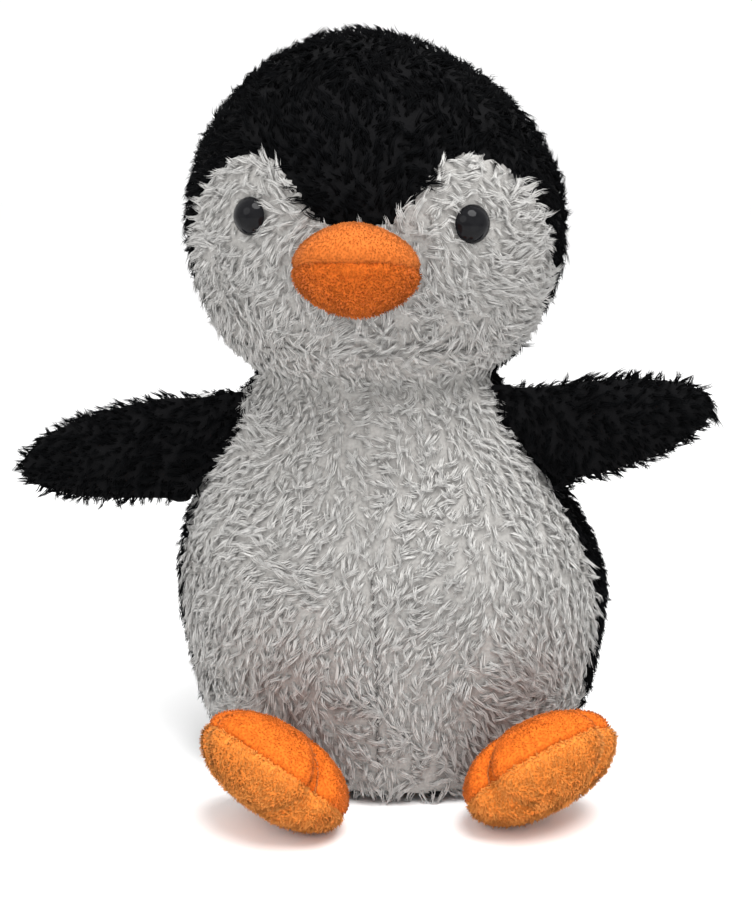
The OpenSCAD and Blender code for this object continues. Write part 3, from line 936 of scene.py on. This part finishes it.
def skin_ring(names, z):
    """Middle and half sizes of those CAD nodes where a level plane cuts them."""
    cuts = []
    for name in names:
        mesh = nodes[name].data
        co = points(nodes[name])
        ends = np.empty(len(mesh.edges) * 2, np.int32)
        mesh.edges.foreach_get("vertices", ends)
        a, b = co[ends[::2]], co[ends[1::2]]
        cross = (a[:, 2] - z) * (b[:, 2] - z) < 0
        a, b = a[cross], b[cross]
        f = ((z - a[:, 2]) / (b[:, 2] - a[:, 2]))[:, None]
        cuts.append(a + (b - a) * f)
    co = np.concatenate(cuts)
    lo, hi = co.min(0), co.max(0)
    return (lo + hi) / 2, (hi - lo) / 2


BAND_INSET = 3.6 * MM
BAND_TUCK = 7.0 * MM
BAND_WAIST = 3.8 * MM
BAND_EDGE = 0.5 * MM
BAND_COLUMNS, BAND_ROWS = 120, 11


def neck_band():
    """Ring of cloth that joins the body's opening to the head's, following both shapes."""
    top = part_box("belly_left")[1][2]
    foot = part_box("face_left")[0][2]
    torso_nodes = ["belly_left", "back_left", "belly_right", "back_right"]
    head_nodes = ["face_left", "cap_left", "face_right", "cap_right"]
    low = skin_ring(torso_nodes, top - BAND_TUCK)
    high = skin_ring(head_nodes, foot + BAND_TUCK)
    waist = [(a + b) / 2 for a, b in zip(skin_ring(torso_nodes, top - BAND_EDGE),
                                         skin_ring(head_nodes, foot + BAND_EDGE))]
    columns, rows = BAND_COLUMNS, BAND_ROWS
    verts, faces = [], []
    for j in range(rows):
        k = 2 * j / (rows - 1)
        start, end = (low, waist) if k < 1 else (waist, high)
        f = k if k < 1 else k - 1
        mid = start[0] * (1 - f) + end[0] * f
        half = start[1] * (1 - f) + end[1] * f - BAND_INSET
        half = half - BAND_WAIST * math.sin(math.pi * min(k, 2 - k) / 2) ** 2
        z = top - BAND_TUCK + (foot - top + 2 * BAND_TUCK) * k / 2
        for i in range(columns):
            a = 2 * math.pi * i / columns
            verts.append((mid[0] + half[0] * math.sin(a), mid[1] - half[1] * math.cos(a), z))
    for j in range(rows - 1):
        for i in range(columns):
            a, b = j * columns + i, j * columns + (i + 1) % columns
            faces.append((a, b, b + columns, a + columns))
    mesh = bpy.data.meshes.new("neck_band")
    mesh.from_pydata(verts, [], faces)
    obj = bpy.data.objects.new("neck_band", mesh)
    scene.collection.objects.link(obj)
    return obj, top, foot


band, band_low, band_high = neck_band()
band_colours = {name: body_colours[name] for name in
                ("belly_left", "belly_right", "back_left", "back_right")}
for name, obj in grow(band, list(band_colours), band_colours, body_flow, LONG, SPACING,
                      PILE * 0.7, seed=15, suffix="_collar").items():
    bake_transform(obj)

# ---------------------------------------------------------------- head

head_colours = {"face_left": "white", "face_right": "white",
                "cap_left": "black", "cap_right": "black"}
head_panels = list(head_colours) + ["head_stuffing"]
head = stuffed(head_panels, 4 * MM, 3)
subdivide(head)
inset(head, DEPTH)
head_pieces = grow(head, head_panels, head_colours, head_flow, LONG, SPACING, PILE,
                   face_length, seed=7)
for name, obj in head_pieces.items():
    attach(obj, "head")
    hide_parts(name)

# ---------------------------------------------------------------- flippers


WING_REACH = 16 * MM
WING_TUCK = 9 * MM


def wing_flow_for(side):
    def wing_flow(place, normal):
        out = np.tile([float(side), 0.0, -0.35], (len(place), 1))
        return across(out * 0.9 + wander(place, 31, 0.030) * 0.6, normal)
    return wing_flow


def wing_root(name):
    """Place of the flipper's hinge, in the middle of its sewn root."""
    return next(j for j in frame["joints"] if j["child"] == name)["pos_m"]


for name, side in (("wing_left", 1), ("wing_right", -1)):
    parts = [name + "_front", name + "_back", name + "_stuffing"]
    skin = stuffed(parts, 2.5 * MM, 5, cap=0.003)
    subdivide(skin)
    inset(skin, 2.0 * MM)
    root_at = wing_root(name)[0]
    co = points(skin)
    near_root = np.clip(1 - (co[:, 0] * side - root_at * side) / WING_REACH, 0, 1.4)
    co[:, 0] -= side * WING_TUCK * near_root ** 1.5
    set_points(skin, co)
    made = grow(skin, parts[:2], {parts[0]: "black", parts[1]: "black"},
                wing_flow_for(side), LONG, SPACING, PILE * 0.95, seed=9 + side)
    for part, obj in made.items():
        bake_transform(obj)
        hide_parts(part)

# ---------------------------------------------------------------- feet and beak


CHANNEL_DEPTH = 1.5 * MM
CHANNEL_WIDTH = 1.9 * MM
SEAM_DEPTH = 0.9 * MM
SEAM_WIDTH = 1.3 * MM
FUZZ = 0.75 * MM


def press_in(obj, far, depth, width):
    """Draws the skin in where far, its distance from a seam, is small."""
    co, nor = points(obj), normals(obj)
    set_points(obj, co - nor * (depth * np.exp(-(far / width) ** 2))[:, None])


def short_pile(panels, core, voxel, smooth, mats, channels, seed, length):
    """Short-pile cloth pieces of a small stuffed part, with its seams drawn in."""
    rng = np.random.default_rng(seed)
    skin = stuffed(panels + [core], voxel, smooth, pressure=2.0, cap=0.0012)
    near = Nearest(panels)
    gaps = np.array([[t.find_nearest(Vector(p))[3] for t in near.trees] for p in points(skin)])
    press_in(skin, gaps[:, 0] - gaps[:, 1], SEAM_DEPTH, SEAM_WIDTH)
    for path in channels:
        co = points(skin)
        far = np.min(np.linalg.norm(co[:, None] - path[None], axis=2), axis=1)
        press_in(skin, far, CHANNEL_DEPTH, CHANNEL_WIDTH)
    tris, owner = triangles(skin)
    centres = points(skin)[tris].mean(1)
    side = {int(f): near.which(c) for c, f in zip(centres, owner)}
    place, normal = spread(skin, tris, FUZZ, rng)
    panel = np.array([near.which(p) for p in place])
    made = {}
    for i, (name, mat) in enumerate(zip(panels, mats)):
        where, up = place[panel == i], normal[panel == i]
        down = np.tile([0.2, -0.6, -0.6], (len(where), 1))
        flow = across(down + wander(where, seed + 50, 0.006) * 1.4, up)
        tall = length[i] * (0.7 + 0.6 * rng.random(len(where)))
        ground, sheet = patch_mesh(skin, [f for f, p in side.items() if p == i], 0.8 * MM)
        hairs = locks(where, up, flow, tall, SHORT, rng)
        made[name] = piece(name + "_cloth", [flat_part(ground, sheet, 0), (*hairs, 1)],
                           (mat, mat + "_hair"))
    bpy.data.objects.remove(skin)
    return made


for name in ("foot_left", "foot_right"):
    threads = [name + "_thread_inner", name + "_thread_outer"]
    toe_lines = [path_of(thread, 30) for thread in threads]
    for thread, line in zip(threads, toe_lines):
        obj = stitches(thread + "_stitches", line[::3], radius=0.28 * MM, proud=-1.1 * MM,
                       out=np.array([0.0, -0.35, 0.93]), mat="orange_thread", seed=71)
        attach(obj, name)
        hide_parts(thread)
    made = short_pile([name + "_top", name + "_sole"], name + "_stuffing", 1.1 * MM, 3,
                      ("foot_smooth", "foot_curly"), toe_lines, 41, (1.0 * MM, 2.1 * MM))
    for part, obj in made.items():
        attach(obj, name)
        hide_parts(part)

made = short_pile(["beak_upper", "beak_lower"], "beak_stuffing", 0.9 * MM, 3,
                  ("beak_smooth", "beak_curly"), (), 61, (0.8 * MM, 1.5 * MM))
for part, obj in made.items():
    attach(obj, "head")
    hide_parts(part)

# ---------------------------------------------------------------- eyes and plastic


def repaint(name, mat):
    """Gives a CAD node that stays visible one of the materials."""
    obj = nodes[name]
    obj.data.materials.clear()
    obj.data.materials.append(MATS[mat])


for name, mat in (("eye_left", "eye"), ("eye_right", "eye"), ("eye_washer_left", "washer"),
                  ("eye_washer_right", "washer")):
    repaint(name, mat)

# ---------------------------------------------------------------- what is inside


def lumpy(name, voxel, depth, size, out=0.0):
    """Skin over one CAD node, pushed in here and there by up to depth."""
    obj = joined([name], "core_" + name)
    remesh = obj.modifiers.new("remesh", "REMESH")
    remesh.mode = "VOXEL"
    remesh.voxel_size = voxel
    soften = obj.modifiers.new("soften", "SMOOTH")
    soften.iterations = 2
    settle(obj)
    keep_biggest(obj)
    co = points(obj)
    wave = wander(co, len(name), size)[:, 0] + 0.5 * wander(co, 3, size / 3)[:, 1]
    wave = np.clip(0.5 + 0.4 * wave, 0.0, 1.0)
    set_points(obj, co + normals(obj) * (out - depth * wave)[:, None])
    return obj


def solid_piece(name, obj, mat):
    made = piece(name, [flat_part(points(obj), triangles(obj)[0], 0)], (mat,))
    bpy.data.objects.remove(obj)
    return made


def body_of(name):
    """Body that holds the CAD node of that name."""
    for body in ("wing_left", "wing_right", "foot_left", "foot_right", "neck"):
        if name.startswith(body):
            return body
    return "torso" if name in ("torso_stuffing", "bean_pouch", "bean_fill") else "head"


for name in nodes:
    if name.endswith("_stuffing"):
        fine = 1.2 * MM if name.startswith(("foot", "beak")) else 2.5 * MM
        obj = solid_piece(name + "_fibre", lumpy(name, fine, 0.9 * MM, 12 * MM), "fill")
        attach(obj, body_of(name))
        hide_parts(name)


BEAN = 3.2 * MM


def bean_heap():
    """Layer of plastic beans over the surface of the bean fill."""
    rng = np.random.default_rng(77)
    core = lumpy("bean_fill", 2.5 * MM, 0.5 * MM, 14 * MM, -BEAN / 2)
    place, _ = spread(core, triangles(core)[0], BEAN * 1.15, rng)
    bm = bmesh.new()
    bmesh.ops.create_icosphere(bm, subdivisions=1, radius=BEAN / 2)
    ball = np.array([v.co[:] for v in bm.verts]) * (1.0, 1.0, 0.8)
    faces = np.array([[v.index for v in f.verts] for f in bm.faces])
    bm.free()
    parts = [flat_part(points(core), triangles(core)[0], 0)]
    for p in place:
        a = rng.uniform(0, 2 * math.pi)
        turn = np.array([[math.cos(a), -math.sin(a), 0], [math.sin(a), math.cos(a), 0], [0, 0, 1]])
        parts.append(flat_part(ball @ turn.T + p, faces, 0))
    bpy.data.objects.remove(core)
    return piece("bean_fill_beans", parts, ("bean",))


beans = bean_heap()
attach(beans, "torso")
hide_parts("bean_fill")

pouch_skin = lumpy("bean_fill", 2.0 * MM, 0.5 * MM, 18 * MM, 1.0 * MM)
pouch_faces = range(len(pouch_skin.data.polygons))
pouch_verts, pouch_tris = patch_mesh(pouch_skin, pouch_faces, 0.6 * MM)
bpy.data.objects.remove(pouch_skin)
pouch = piece("bean_pouch_cloth", [flat_part(pouch_verts, pouch_tris, 0)], ("cloth",))
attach(pouch, "torso")
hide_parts("bean_pouch")


THREAD_TWISTS = 60
PLY_OFFSET = 0.4 * MM
PLY_RADIUS = 0.42 * MM


def neck_loop():
    """Two-ply drawing thread round the neck."""
    low, high = (np.array(v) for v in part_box("neck_thread"))
    mid, half = (low + high) / 2, (high - low) / 2
    a = np.linspace(0, 2 * math.pi, 361)[:-1]
    parts = []
    for ply in (0.0, math.pi):
        r = half[0] - half[2] + PLY_OFFSET * np.cos(THREAD_TWISTS * a + ply)
        line = np.stack([mid[0] + r * np.sin(a), mid[1] - r * np.cos(a),
                         mid[2] + PLY_OFFSET * np.sin(THREAD_TWISTS * a + ply)], 1)
        verts, tris = tube(line, PLY_RADIUS)
        parts.append(flat_part(verts, tris, 0))
    return piece("neck_thread_plies", parts, ("black_thread",))


loop = neck_loop()
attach(loop, "neck")
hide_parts("neck_thread")

low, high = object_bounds()
